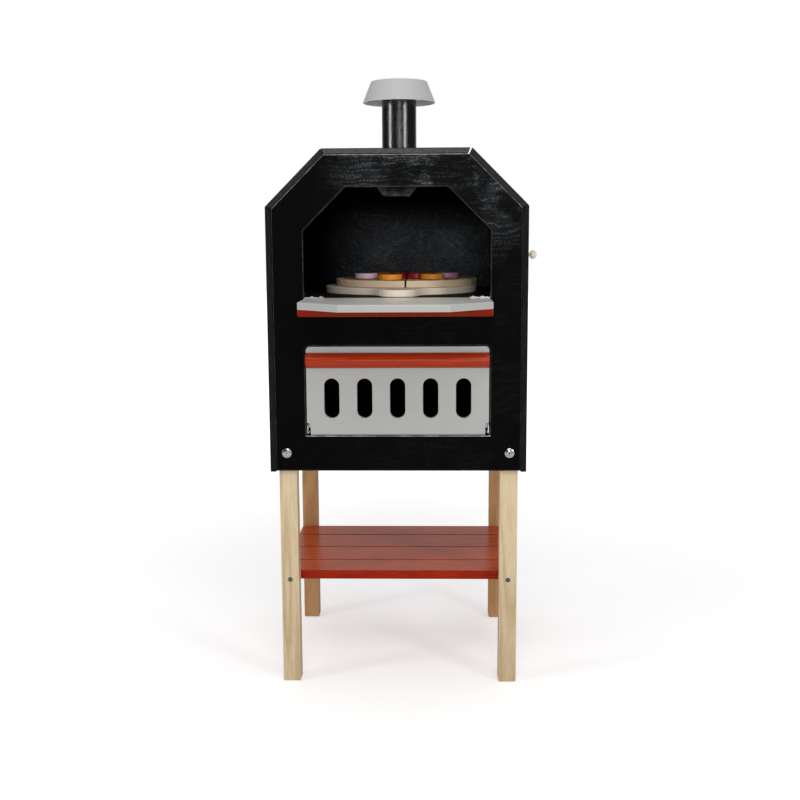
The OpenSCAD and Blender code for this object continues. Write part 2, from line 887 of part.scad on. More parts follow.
module pizza_slice_1() pizza_slice(0);
module pizza_slice_2() pizza_slice(1);
module pizza_slice_3() pizza_slice(2);
module pizza_slice_4() pizza_slice(3);
module pizza_slice_5() pizza_slice(4);
module pizza_slice_6() pizza_slice(5);
module topping_1() topping(0);
module topping_2() topping(1);
module topping_3() topping(2);
module topping_4() topping(3);
module topping_5() topping(4);
module topping_6() topping(5);

front_panel();
back_panel();
left_side_panel();
right_side_panel();
left_slope_panel();
right_slope_panel();
roof_panel();
base_panel();
oven_floor();
floor_cleats();
oven_door_stop();
store_door_stop();
oven_door();
oven_door_handle();
oven_handle_dowels();
oven_hinge_brackets();
oven_bracket_screws();
oven_hinge_plates();
oven_hinge_pins();
oven_plate_screws();
store_door();
store_door_handle();
store_handle_dowels();
store_hinge_brackets();
store_bracket_screws();
store_hinge_plates();
store_hinge_pins();
store_plate_screws();
chimney_pipe();
chimney_flange();
chimney_cap();
side_peg();
leg_front_left();
leg_front_right();
leg_rear_left();
leg_rear_right();
front_leg_bolts();
rear_leg_bolts();
leg_barrel_nuts();
shelf();
shelf_screws();
pizza_paddle();
pizza_slice_1();
pizza_slice_2();
pizza_slice_3();
pizza_slice_4();
pizza_slice_5();
pizza_slice_6();
topping_1();
topping_2();
topping_3();
topping_4();
topping_5();
topping_6();
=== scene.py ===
"""Looks of the play oven: softened boards, turned pieces, screws and all the finishes.

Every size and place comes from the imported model, in metres, with Z up and the front at -Y.
"""
import json
import math

import bmesh
import bpy
import numpy as np
from mathutils import Matrix, Vector

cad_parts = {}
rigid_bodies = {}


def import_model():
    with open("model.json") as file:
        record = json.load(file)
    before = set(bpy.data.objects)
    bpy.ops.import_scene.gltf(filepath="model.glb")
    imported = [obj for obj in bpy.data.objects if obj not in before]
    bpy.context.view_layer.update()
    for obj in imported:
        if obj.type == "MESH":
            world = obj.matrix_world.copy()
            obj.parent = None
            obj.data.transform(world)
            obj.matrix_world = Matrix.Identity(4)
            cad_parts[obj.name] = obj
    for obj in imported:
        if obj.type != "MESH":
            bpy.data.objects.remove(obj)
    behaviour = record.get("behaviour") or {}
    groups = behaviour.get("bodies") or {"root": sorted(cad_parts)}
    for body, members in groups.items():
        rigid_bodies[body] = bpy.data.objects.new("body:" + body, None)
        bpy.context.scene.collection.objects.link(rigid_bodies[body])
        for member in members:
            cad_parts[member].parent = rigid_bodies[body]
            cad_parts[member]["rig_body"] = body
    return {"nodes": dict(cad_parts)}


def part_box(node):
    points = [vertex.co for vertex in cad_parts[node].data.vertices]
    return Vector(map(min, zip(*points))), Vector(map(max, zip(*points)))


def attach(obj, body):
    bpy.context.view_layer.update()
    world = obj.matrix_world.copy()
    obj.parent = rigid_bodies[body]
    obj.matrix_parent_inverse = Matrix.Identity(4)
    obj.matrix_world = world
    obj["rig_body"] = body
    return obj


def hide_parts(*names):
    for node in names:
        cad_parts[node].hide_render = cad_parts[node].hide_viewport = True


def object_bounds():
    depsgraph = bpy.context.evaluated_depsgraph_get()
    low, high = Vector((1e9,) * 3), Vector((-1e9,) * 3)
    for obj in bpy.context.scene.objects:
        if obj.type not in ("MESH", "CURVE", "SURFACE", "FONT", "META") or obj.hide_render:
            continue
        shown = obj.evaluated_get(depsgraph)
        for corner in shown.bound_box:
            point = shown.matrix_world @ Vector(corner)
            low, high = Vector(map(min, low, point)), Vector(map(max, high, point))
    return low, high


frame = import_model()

cad_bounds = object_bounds()
MM = 0.001

# Which way the wood grain runs: the coordinate along it is squeezed
GRAIN_X = (0.07, 1.0, 1.0)
GRAIN_Y = (1.0, 0.07, 1.0)
GRAIN_Z = (1.0, 1.0, 0.07)
EVEN = (1.0, 1.0, 1.0)


# ---------------------------------------------------------------- node trees

class Tree:
    """Adds nodes to a shader or geometry tree, and gives back the socket to carry on from."""

    def __init__(self, tree):
        self.nodes = tree.nodes
        self.links = tree.links

    def put(self, kind, inputs=(), out=0, **settings):
        node = self.nodes.new(kind)
        for name, value in settings.items():
            setattr(node, name, value)
        for name, value in dict(inputs).items():
            self.feed(node.inputs[name], value)
        return node.outputs[out]

    def feed(self, socket, value):
        if isinstance(value, bpy.types.NodeSocket):
            self.links.new(value, socket)
        else:
            socket.default_value = value

    def math(self, operation, a, b=0.0, clamp=False):
        return self.put("ShaderNodeMath", {0: a, 1: b}, operation=operation, use_clamp=clamp)

    def times(self, a, b, clamp=False):
        return self.math("MULTIPLY", a, b, clamp)

    def plus(self, a, b, clamp=False):
        return self.math("ADD", a, b, clamp)

    def minus(self, a, b):
        return self.math("SUBTRACT", a, b)

    def larger(self, a, b):
        return self.math("MAXIMUM", a, b)

    def vector(self, operation, a, b=(0.0, 0.0, 0.0), out=0):
        return self.put("ShaderNodeVectorMath", {0: a, 1: b}, out, operation=operation)

    def split(self, vector):
        """The X, Y and Z of a vector."""
        node = self.nodes.new("ShaderNodeSeparateXYZ")
        self.feed(node.inputs[0], vector)
        return node.outputs

    def combine(self, x=0.0, y=0.0, z=0.0):
        return self.put("ShaderNodeCombineXYZ", {0: x, 1: y, 2: z})

    def noise(self, place, scale, detail=3.0, roughness=0.5, distortion=0.0):
        return self.put("ShaderNodeTexNoise", {
            "Vector": place, "Scale": scale, "Detail": detail,
            "Roughness": roughness, "Distortion": distortion})

    def remap(self, value, low, high, to_low=0.0, to_high=1.0, smooth=True):
        return self.put("ShaderNodeMapRange", {
            "Value": value, "From Min": low, "From Max": high,
            "To Min": to_low, "To Max": to_high},
            interpolation_type="SMOOTHSTEP" if smooth else "LINEAR")

    def blend(self, amount, a, b):
        """Mixes two colours; a colour is written as three numbers."""
        wide = [c if isinstance(c, bpy.types.NodeSocket) else (*c, 1.0) for c in (a, b)]
        return self.put("ShaderNodeMix", {0: amount, 6: wide[0], 7: wide[1]}, 2, data_type="RGBA")

    def place(self):
        return self.put("ShaderNodeTexCoord", out="Object")

    def facing(self):
        return self.put("ShaderNodeTexCoord", out="Normal")

    def arris(self):
        """1 on the rounded edges that softening made, 0 elsewhere."""
        return self.put("ShaderNodeAttribute", out="Fac", attribute_name="arris")

    def bump(self, height, depth, strength=0.5):
        return self.put("ShaderNodeBump", {
            "Height": height, "Distance": depth, "Strength": strength})


def shader_group(name, inputs, outputs):
    """An empty shader node group, its Tree, its input sockets and its output sockets."""
    tree = bpy.data.node_groups.new(name, "ShaderNodeTree")
    for label, kind, value in inputs:
        socket = tree.interface.new_socket(label, in_out="INPUT", socket_type="NodeSocket" + kind)
        socket.default_value = value
    for label in outputs:
        tree.interface.new_socket(label, in_out="OUTPUT", socket_type="NodeSocketFloat")
    t = Tree(tree)
    return tree, t, t.nodes.new("NodeGroupInput").outputs, t.nodes.new("NodeGroupOutput").inputs


def make_wood_figure():
    """Growth figure, fibres, raised grain and pores of a board; Wander bends its grain lines."""
    tree, t, given, result = shader_group(
        "Wood figure",
        [("Place", "Vector", (0, 0, 0)), ("Squeeze", "Vector", (1, 1, 1)),
         ("Rings", "Float", 7.0), ("Breadth", "Float", 9.0), ("Wander", "Float", 0.004)],
        ["Figure", "Fibre", "Raised", "Pores"])
    wander = given["Wander"]
    drift = t.put("ShaderNodeTexNoise", {
        "Vector": given["Place"], "Scale": 11.0, "Detail": 2.0}, out=1)
    drift = t.vector("MULTIPLY", t.vector("SUBTRACT", drift, (0.5, 0.5, 0.5)),
                     t.combine(wander, wander, wander))
    grain = t.vector("MULTIPLY", t.vector("ADD", given["Place"], drift), given["Squeeze"])
    swell = t.noise(grain, given["Breadth"], 2.5, 0.45, 0.35)
    rings = t.times(swell, given["Rings"])
    wave = t.math("SINE", t.times(rings, 2 * math.pi))
    t.feed(result["Figure"], t.times(t.plus(wave, 1.0), 0.5))
    t.feed(result["Fibre"], t.noise(grain, 420.0, 5.0, 0.7))
    dash = t.remap(t.noise(grain, 520.0, 4.0, 0.65), 0.48, 0.64)
    line = t.math("SINE", t.times(rings, 9 * math.pi))
    crest = t.plus(t.times(dash, 0.5), t.times(t.remap(line, 0.0, 1.0), 0.6))
    broken = t.remap(t.noise(given["Place"], 330.0, 4.0, 0.8), 0.44, 0.60)
    t.feed(result["Raised"], t.times(crest, broken, clamp=True))
    t.feed(result["Pores"], t.remap(t.noise(grain, 1500.0, 2.0, 0.6), 0.60, 0.72))
    return tree


def make_ply_layers():
    """Veneers of a plywood edge, counted along one depth: the tone of each and its glue line."""
    tree, t, given, result = shader_group(
        "Ply layers",
        [("Depth", "Float", 0.0), ("Veneer", "Float", 0.0016), ("Place", "Vector", (0, 0, 0))],
        ["Tone", "Glue"])
    wander = t.times(t.noise(given["Place"], 60.0, 2.0), 0.5)
    count = t.plus(t.math("DIVIDE", given["Depth"], given["Veneer"]), wander)
    off_middle = t.math("ABSOLUTE", t.minus(t.math("FRACT", count), 0.5))
    t.feed(result["Tone"], t.math("FLOORED_MODULO", t.math("FLOOR", count), 2.0))
    t.feed(result["Glue"], t.remap(off_middle, 0.38, 0.49))
    return tree


def make_paint_film():
    """Orange peel, slow unevenness and small specks in a coat of paint."""
    tree, t, given, result = shader_group(
        "Paint film",
        [("Place", "Vector", (0, 0, 0)), ("Peel", "Float", 500.0)],
        ["Peel", "Cloud", "Specks"])
    t.feed(result["Peel"], t.noise(given["Place"], given["Peel"], 2.0, 0.5))
    t.feed(result["Cloud"], t.noise(given["Place"], 14.0, 3.0, 0.55))
    t.feed(result["Specks"], t.remap(t.noise(given["Place"], 1900.0, 1.0), 0.72, 0.78))
    return tree


def make_edge_wear_and_light():
    """A patchy mask along the arrises, strong and thin along them: it carries wear, and in some
    finishes painted highlight and painted shade.
    """
    tree, t, given, result = shader_group(
        "Edge wear and light",
        [("Arris", "Float", 0.0), ("Place", "Vector", (0, 0, 0)), ("Amount", "Float", 0.5)],
        ["Rub"])
    patch = t.remap(t.noise(given["Place"], 55.0, 4.0, 0.6), 0.35, 0.7, 0.35, 1.0)
    t.feed(result["Rub"], t.times(t.times(given["Arris"], given["Amount"]), patch))
    return tree


def make_machined_metal():
    """Fine drawn lines and slow clouding of plated steel."""
    tree, t, given, result = shader_group(
        "Machined metal",
        [("Place", "Vector", (0, 0, 0)), ("Squeeze", "Vector", (1, 1, 1))],
        ["Lines", "Cloud"])
    drawn = t.vector("MULTIPLY", given["Place"], given["Squeeze"])
    t.feed(result["Lines"], t.noise(drawn, 3200.0, 3.0, 0.6))
    t.feed(result["Cloud"], t.noise(given["Place"], 260.0, 3.0, 0.6))
    return tree


WOOD_FIGURE = make_wood_figure()
PLY_LAYERS = make_ply_layers()
PAINT_FILM = make_paint_film()
EDGE_WEAR_AND_LIGHT = make_edge_wear_and_light()
MACHINED_METAL = make_machined_metal()


def use(t, group, inputs):
    """Places a node group in a material and gives its outputs by name."""
    node = t.nodes.new("ShaderNodeGroup")
    node.node_tree = group
    for name, value in inputs.items():
        t.feed(node.inputs[name], value)
    return node.outputs


def arris_wear_and_light(t, place, amount):
    """How much an arris takes of its arris colour: wear, and in some finishes painted highlight
    and painted shade.
    """
    return use(t, EDGE_WEAR_AND_LIGHT, {"Arris": t.arris(), "Place": place, "Amount": amount})["Rub"]


def scaled(colour, by):
    """A colour made darker or lighter, white at most."""
    return tuple(min(1.0, c * by) for c in colour)


def new_finish(name, **constants):
    """A material with its Tree and its Principled shader's inputs; constants go on the shader."""
    material = bpy.data.materials.new(name)
    material.use_nodes = True
    shader = material.node_tree.nodes["Principled BSDF"].inputs
    for label, value in constants.items():
        shader[label.replace("_", " ")].default_value = value
    return material, Tree(material.node_tree), shader


# ---------------------------------------------------------------- finishes

# Black stain on the faces that look to the front, and the fibre tones of the other faces, painted
# lighter there because the back and sides get less light
STAIN_FRONT_BLACK = (0.0016, 0.0017, 0.0016)
STAIN_FIBRES_PAINTED_LIGHT = (0.0050, 0.0052, 0.0054), (0.0095, 0.0100, 0.0105)
# The tints of the painted light on the stain's ground, of raised grain and of the dark and light
# parts of a cut edge
PAINTED_LIGHT_TINT, CREST_TINT = (0.92, 1.0, 1.08), (0.95, 1.0, 1.10)
CUT_DARK, CUT_LIGHT = (0.35, 0.36, 0.38), (1.0, 1.02, 1.08)
# Heights between which the store's hollow ends and the oven's begins
OVEN_HOLLOW = (0.54, 0.60)


def stained_ply(name, squeeze, cut, pale_from, pale_to, pale=0.5, cut_tone=0.03, top_arris_highlight=0.01,
                ground_tone=0.018, crest_tone=0.26, inside=False, spot=None, patchy=0.85):
    """Black-stained plywood with pale raised grain and a lighter ground between two heights.

    That band is painted light, paler where the lamps fall: the top of the front, and a pool low in
    the middle of the oven's back wall. cut is (axis, whether faces across it are the cut edges).
    spot keeps the painted light to one part of the width: its X, how far it reaches and where it
    has faded. inside keeps it to the face that looks at the oven's doorway, apart from a trace of
    painted light on the face that looks away. Faces that do not look to the front are painted
    lighter, and arrises that look up take top_arris_highlight as a painted highlight.
    """
    material, t, shader = new_finish(name, Specular_IOR_Level=0.03)
    place = t.place()
    wood = use(t, WOOD_FIGURE, {
        "Place": place, "Squeeze": squeeze, "Rings": 9.0, "Breadth": 11.0, "Wander": 0.03})
    x, _, z = t.split(place)
    _, look_y, look_z = t.split(t.facing())
    patch = t.remap(t.noise(place, 17.0, 3.0, 0.6), 0.43, 0.60, 1.0 - patchy, 1.0)
    # Painted light: in this band the ground and the raised grain's crests are paler
    grain_and_painted_light = t.times(t.remap(z, pale_from, pale_to, 0.0 if inside else 0.05, 1.0), patch)
    if spot:
        middle, full, faded = spot
        aside = t.math("ABSOLUTE", t.minus(x, middle))
        grain_and_painted_light = t.times(grain_and_painted_light, t.remap(aside, full, faded, 1.0, 0.0))
    if inside:
        grain_and_painted_light = t.times(grain_and_painted_light, t.remap(z, *OVEN_HOLLOW))
        turned_away = t.times(patch, t.remap(look_y, 0.2, 0.8, 0.0, 0.10))
        grain_and_painted_light = t.plus(turned_away, t.times(grain_and_painted_light, t.remap(look_y, -0.2, -0.8)))
    crest = t.times(wood["Raised"], t.times(grain_and_painted_light, pale))
    cloud = t.times(grain_and_painted_light, t.remap(wood["Fibre"], 0.3, 0.7, 0.5, 1.0))
    # Painted light: faces that do not look to the front take the lighter fibre tones
    black_and_painted_light = t.blend(t.remap(wood["Fibre"], 0.35, 0.65), *STAIN_FIBRES_PAINTED_LIGHT)
    black_and_painted_light = t.blend(t.remap(look_y, -0.1, -0.6), black_and_painted_light, STAIN_FRONT_BLACK)
    ground = t.blend(cloud, black_and_painted_light, scaled(PAINTED_LIGHT_TINT, ground_tone))
    face = t.blend(crest, ground, scaled(CREST_TINT, crest_tone))

    axis, across_it = cut
    across = t.math("ABSOLUTE", t.vector("DOT_PRODUCT", t.facing(), axis, out="Value"))
    edge = t.remap(across, 0.75, 0.95) if across_it else t.remap(across, 0.25, 0.05)
    fibres = t.noise(t.vector("MULTIPLY", place, squeeze), 700.0, 4.0, 0.7)
    cut_face = t.blend(t.remap(fibres, 0.32, 0.72), scaled(CUT_DARK, cut_tone),
                       scaled(CUT_LIGHT, cut_tone))
    # Painted highlight on the arrises that look up, together with wear
    arris_amount = t.times(arris_wear_and_light(t, place, 0.95), t.remap(look_z, 0.40, 0.68, 0.05, 1.0))
    colour = t.blend(arris_amount, t.blend(edge, face, cut_face), scaled(EVEN, top_arris_highlight))
    t.feed(shader["Base Color"], colour)
    t.feed(shader["Roughness"], t.remap(crest, 0.0, 0.5, 0.60, 0.42, smooth=False))
    height = t.plus(t.times(wood["Fibre"], 0.5), t.times(wood["Raised"], 0.8))
    height = t.minus(height, t.times(wood["Pores"], 0.3))
    t.feed(shader["Normal"], t.bump(height, 0.45 * MM, 0.7))
    return material


def painted(name, colour, squeeze, roughness, grain=0.06, arris_colour=None, arris_amount=0.4, show_through=0.3,
            coat=0.0, peel_depth=0.02, level=0.4, under=None, over=None, grit=0.0):
    """Brushed or sprayed paint on wood: the grain shows faintly, and arrises take arris_colour.

    level is how much the paint shines. under and over are the colours of the faces that look down
    and up, if they are others, and paint light and shade on them; grit breaks the gloss up into
    small dull spots. A lighter arris_colour is rubbed paint, with a painted highlight on the doors
    and the cap; the shelf's darker one is painted shade in its grooves.
    """
    material, t, shader = new_finish(
        name, Specular_IOR_Level=level, Coat_Weight=coat, Coat_Roughness=0.08)
    place = t.place()
    film = use(t, PAINT_FILM, {"Place": place, "Peel": 520.0})
    wood = use(t, WOOD_FIGURE, {
        "Place": place, "Squeeze": squeeze, "Rings": 6.0, "Breadth": 12.0})
    light = scaled(colour, 1.0 + 0.35 * show_through)
    tone = t.put("ShaderNodeMath", {0: t.remap(wood["Fibre"], 0.35, 0.7), 1: 0.6, 2: 0.2},
                 operation="MULTIPLY_ADD")
    mixed = t.plus(tone, t.times(t.minus(film["Cloud"], 0.5), 0.8), clamp=True)
    shade = t.blend(mixed, scaled(colour, 1.0 - show_through), light)
    shade = t.blend(t.times(film["Specks"], 0.25), shade, scaled(colour, 0.6))
    # Painted light and shade: faces that look down take under, faces that look up take over
    for painted_light_colour, start, full in ((under, -0.10, -0.22), (over, 0.6, 0.85)):
        if painted_light_colour:
            upright = t.split(t.facing())[2]
            painted_light_tone = t.blend(mixed, scaled(painted_light_colour, 1.0 - show_through), painted_light_colour)
            shade = t.blend(t.remap(upright, start, full), shade, painted_light_tone)
    t.feed(shader["Base Color"], t.blend(arris_wear_and_light(t, place, arris_amount), shade, arris_colour or light))
    dull = t.remap(film["Cloud"], 0.2, 0.8, roughness * 0.85, roughness * 1.2, smooth=False)
    if grit:
        dull = t.plus(dull, t.remap(t.noise(place, 560.0, 2.0), 0.46, 0.58, 0.0, grit))
    t.feed(shader["Roughness"], dull)
    height = t.plus(t.times(film["Peel"], peel_depth * 10.0), t.times(wood["Fibre"], grain * 10.0))
    t.feed(shader["Normal"], t.bump(height, 0.1 * MM, 0.6))
    return material


def bare_wood(name, pale, dark, squeeze, rings=7.0, breadth=16.0):
    """Planed or turned wood with its figure, darker late growth, fibres and pores."""
    material, t, shader = new_finish(name, Specular_IOR_Level=0.35)
    place = t.place()
    wood = use(t, WOOD_FIGURE, {
        "Place": place, "Squeeze": squeeze, "Rings": rings, "Breadth": breadth})
    growth = t.times(t.math("POWER", wood["Figure"], 2.2), 0.55)
    fibre = t.times(t.remap(wood["Fibre"], 0.3, 0.75), 0.45)
    shade = t.blend(t.plus(growth, fibre, clamp=True), pale, dark)
    shade = t.blend(t.times(wood["Pores"], 0.35), shade, scaled(dark, 0.55))
    warm = t.remap(t.noise(place, 6.0, 2.0), 0.35, 0.7)
    shade = t.blend(t.times(warm, 0.25), shade, (dark[0], dark[1] * 0.92, dark[2] * 0.8))
    t.feed(shader["Base Color"], t.blend(arris_wear_and_light(t, place, 0.45), shade, scaled(pale, 1.12)))
    t.feed(shader["Roughness"], t.remap(wood["Fibre"], 0.2, 0.8, 0.425, 0.6, smooth=False))
    height = t.minus(t.times(wood["Fibre"], 0.8), t.times(wood["Pores"], 0.5))
    t.feed(shader["Normal"], t.bump(height, 0.12 * MM))
    return material


def ply_edged(name, pale, dark, squeeze, floor_z, top):
    """Bare plywood seen flat and on its layered edge; top colours the upper face."""
    material, t, shader = new_finish(name, Specular_IOR_Level=0.35)
    place = t.place()
    wood = use(t, WOOD_FIGURE, {
        "Place": place, "Squeeze": squeeze, "Rings": 5.0, "Breadth": 10.0})
    layers = use(t, PLY_LAYERS, {
        "Depth": t.minus(t.split(place)[2], floor_z), "Veneer": 1.55 * MM, "Place": place})
    figure = t.times(t.plus(wood["Figure"], t.remap(wood["Fibre"], 0.3, 0.7)), 0.4)
    flat = t.blend(figure, pale, dark)
    edge = t.blend(t.times(layers["Tone"], 0.35), pale, dark)
    edge = t.blend(t.times(layers["Glue"], 0.25), edge, scaled(dark, 0.45))
    end_grain = t.remap(t.noise(place, 900.0, 3.0, 0.7), 0.35, 0.75)
    edge = t.blend(t.times(end_grain, 0.25), edge, scaled(dark, 0.7))
    upright = t.split(t.facing())[2]
    face = t.remap(t.math("ABSOLUTE", upright), 0.6, 0.85)
    t.feed(shader["Base Color"], top(t, place, upright, t.blend(face, edge, flat)))
    t.feed(shader["Roughness"], t.remap(wood["Fibre"], 0.2, 0.8, 0.42, 0.6, smooth=False))
    relief = t.plus(t.times(wood["Fibre"], 0.6), t.times(layers["Glue"], -0.5))
    t.feed(shader["Normal"], t.bump(relief, 0.12 * MM))
    return material


def sauce_and_crust(centre, crust_r):
    """Paints the slices: sauce with cheese inside the crust's radius, and painted shade on the
    sides that face the gaps between slices.
    """
    sauce, cheese, baked, gap_shade_colour = (
        (0.30, 0.030, 0.012), (0.74, 0.50, 0.20), (0.34, 0.12, 0.03), (0.16, 0.085, 0.04))

    def paint(t, place, upright, wood_colour):
        flat = t.vector("MULTIPLY", t.vector("SUBTRACT", place, centre), (1.0, 1.0, 0.0))
        radius = t.vector("LENGTH", flat, out="Value")
        wander = t.times(t.minus(t.noise(place, 45.0, 3.0), 0.5), 9.0 * MM)
        inside = t.remap(t.plus(radius, wander), crust_r, crust_r - 1.2 * MM)
        melted = t.remap(t.noise(place, 32.0, 4.0, 0.55, 0.8), 0.47, 0.52)
        topping = t.blend(melted, sauce, cheese)
        brown = t.remap(t.noise(place, 120.0, 3.0), 0.55, 0.75)
        topping = t.blend(t.times(brown, 0.35), topping, baked)
        up = t.remap(upright, 0.8, 0.95)
        # Painted shade on the sides that face the gaps between slices
        outward = t.vector("DOT_PRODUCT", t.vector("NORMALIZE", flat), t.facing(), out="Value")
        gap_shade = t.times(t.remap(outward, 0.75, 0.4), t.remap(upright, 0.6, 0.3))
        wood_colour = t.blend(t.times(gap_shade, 0.85), wood_colour, gap_shade_colour)
        return t.blend(t.times(inside, up), wood_colour, topping)
    return paint


def top_painted_reflection(t, place, upright, wood_colour):
    """Tints a board's upper face reddish brown in patches: a painted reflection of the pizza's
    red, with painted shade.
    """
    reflection_patch = t.remap(t.noise(place, 25.0, 3.0), 0.3, 0.7, 0.35, 0.6)
    up = t.remap(upright, 0.8, 0.95)
    return t.blend(t.times(reflection_patch, up), wood_colour, (0.66, 0.42, 0.31))


def topping_paint(name, colour, fleck, amount):
    """Glossy toy paint with flecks, scuffed at the arris."""
    material, t, shader = new_finish(name, Specular_IOR_Level=0.5, Coat_Weight=0.3)
    place = t.place()
    film = use(t, PAINT_FILM, {"Place": place, "Peel": 700.0})
    blot = t.remap(t.noise(place, 330.0, 3.0, 0.6), 0.5, 0.66)
    shade = t.blend(t.times(blot, amount), colour, fleck)
    shade = t.blend(t.times(film["Cloud"], 0.3), shade, scaled(colour, 0.75))
    scuffed = tuple(min(1.0, c * 1.3 + 0.03) for c in colour)
    t.feed(shader["Base Color"], t.blend(arris_wear_and_light(t, place, 0.5), shade, scuffed))
    t.feed(shader["Roughness"], t.remap(film["Cloud"], 0.2, 0.8, 0.26, 0.42, smooth=False))
    t.feed(shader["Normal"], t.bump(film["Peel"], 0.05 * MM))
    return material


def plated_steel(name, colour, squeeze, roughness):
    """Zinc-plated or brushed steel with drawn lines and slight clouding."""
    material, t, shader = new_finish(name, Metallic=1.0)
    place = t.place()
    metal = use(t, MACHINED_METAL, {"Place": place, "Squeeze": squeeze})
    shade = t.blend(t.remap(metal["Cloud"], 0.3, 0.7), scaled(colour, 0.82), colour)
    t.feed(shader["Base Color"], shade)
    t.feed(shader["Roughness"], t.remap(metal["Lines"], 0.3, 0.7, roughness * 0.7,
                                        roughness * 1.35, smooth=False))
    t.feed(shader["Normal"], t.bump(metal["Lines"], 0.01 * MM))
    return material


# ---------------------------------------------------------------- making pieces

# Edges that turn more than this are arrises; a finer crease stays smooth to the eye
ARRIS_TURN = math.radians(28)
SMOOTH_TURN = math.radians(40)
# Loops of arris shorter than this many roundings, such as the rims of screw holes, stay sharp
SMALL_LOOP = 8
# Loose triangles closer than this are one surface, and flat to this angle is flat
WELD = 0.004 * MM
FLAT_TURN = math.radians(0.4)


def add_to_scene(name, data):
    thing = bpy.data.objects.new(name, data)
    bpy.context.scene.collection.objects.link(thing)
    return thing


def object_from(bm, name):
    mesh = bpy.data.meshes.new(name)
    bm.to_mesh(mesh)
    bm.free()
    return add_to_scene(name, mesh)


def chains(edges):
    """Splits edges into groups that hang together."""
    left = dict.fromkeys(edges)
    while left:
        chain = [left.popitem()[0]]
        for edge in chain:
            for vert in edge.verts:
                for other in vert.link_edges:
                    if other in left:
                        del left[other]
                        chain.append(other)
        yield chain


def round_arrises(bm, width, segments=3):
    """Rounds the sharp edges and marks the new faces, so that a finish can give them wear, painted
    highlight and painted shade.
    """
    arris = bm.faces.layers.float.new("arris")
    sharp = [e for e in bm.edges if len(e.link_faces) == 2 and e.calc_face_angle() > ARRIS_TURN]
    wide = []
    for chain in chains(sharp):
        corners = np.array([v.co for e in chain for v in e.verts])
        if np.ptp(corners, axis=0).max() > SMALL_LOOP * width:
            wide += chain
    made = bmesh.ops.bevel(bm, geom=wide, offset=width, offset_type="OFFSET", segments=segments,
                           profile=0.5, affect="EDGES", clamp_overlap=False, loop_slide=True)
    for face in made["faces"]:
        face[arris] = 1.0


def applied(piece):
    """Keeps what a piece's modifiers make of it as its plain mesh, and takes them off."""
    bpy.context.view_layer.update()
    ready = piece.evaluated_get(bpy.context.evaluated_depsgraph_get())
    mesh = bpy.data.meshes.new_from_object(ready)
    mesh.name = piece.name
    piece.modifiers.clear()
    piece.data = mesh
    return piece


def shade_smooth(mesh, crease):
    mesh.polygons.foreach_set("use_smooth", [True] * len(mesh.polygons))
    mesh.set_sharp_from_angle(angle=crease)


def smooth(piece):
    """Smooth shading with flat faces kept flat and hard corners kept hard."""
    shade_smooth(piece.data, SMOOTH_TURN)
    weighted = piece.modifiers.new("Weighted_Normal", "WEIGHTED_NORMAL")
    weighted.keep_sharp = True
    weighted.mode = "FACE_AREA"
    return applied(piece)


def merged(node):
    """The node's mesh with its loose triangles joined and its flat faces made whole."""
    bm = bmesh.new()
    bm.from_mesh(frame["nodes"][node].data)
    bmesh.ops.remove_doubles(bm, verts=bm.verts, dist=WELD)
    bmesh.ops.dissolve_limit(bm, angle_limit=FLAT_TURN, verts=bm.verts, edges=bm.edges)
    return bm


def cover(mesh, material):
    mesh.materials.clear()
    mesh.materials.append(material)


def dress(piece, node, material=None):
    """Puts a piece in the node's place, on the node's body; it may have its finish already."""
    if material:
        cover(piece.data, material)
    body = frame["nodes"][node]["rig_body"]
    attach(piece, body)
    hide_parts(node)


def softened(node, width, material, segments=3):
    """The node's own shape with its arrises rounded."""
    bm = merged(node)
    round_arrises(bm, width, segments)
    dress(smooth(object_from(bm, "soft_" + node)), node, material)


def turned(name, profile, centre, width, segments=120):
    """A piece turned on a lathe about Z: profile is a closed loop of (radius, height)."""
    bm = bmesh.new()
    angles = [2 * math.pi * k / segments for k in range(segments)]
    rings = []
    for radius, height in profile:
        z = centre.z + height
        if radius < 1e-9:
            rings.append([bm.verts.new((centre.x, centre.y, z))])
        else:
            rings.append([bm.verts.new((centre.x + radius * math.cos(a),
                                        centre.y + radius * math.sin(a), z)) for a in angles])
    for ring, following in zip(rings, rings[1:] + rings[:1]):
        if len(ring) == 1 and len(following) == 1:
            continue
        for k in range(segments):
            corners = [ring[k % len(ring)], ring[(k + 1) % len(ring)],
                       following[(k + 1) % len(following)], following[k % len(following)]]
            bm.faces.new(list(dict.fromkeys(corners)))
    bmesh.ops.recalc_face_normals(bm, faces=bm.faces)
    round_arrises(bm, width)
    return object_from(bm, name)


def solids(node):
    """The lowest and highest corner of each separate solid in a node."""
    bm = merged(node)
    left = set(bm.verts)
    found = []
    while left:
        island = [left.pop()]
        for reached in island:
            for edge in reached.link_edges:
                vert = edge.other_vert(reached)
                if vert in left:
                    left.remove(vert)
                    island.append(vert)
        points = np.array([v.co for v in island])
        found.append((Vector(points.min(0)), Vector(points.max(0))))
    bm.free()
    return sorted(found, key=lambda pair: tuple(pair[0]))


# ---------------------------------------------------------------- geometry node trees

def geometry_tree(name, inputs, output):
    """An empty geometry tree, its Tree, its input sockets and its output socket."""
    tree = bpy.data.node_groups.new(name, "GeometryNodeTree")
    for label, kind, value in inputs:
        socket = tree.interface.new_socket(label, in_out="INPUT", socket_type="NodeSocket" + kind)
        if value is not None:
            socket.default_value = value
    tree.interface.new_socket(output, in_out="OUTPUT", socket_type="NodeSocketGeometry")
    t = Tree(tree)
    return tree, t, t.nodes.new("NodeGroupInput").outputs, t.nodes.new("NodeGroupOutput").inputs[0]


def join(t, *parts):
    node = t.nodes.new("GeometryNodeJoinGeometry")
    for part in parts:
        t.links.new(part, node.inputs[0])
    return node.outputs[0]


def moved_up(t, geometry, height):
    return t.put("GeometryNodeTransform", {
        "Geometry": geometry, "Translation": t.combine(z=height)})


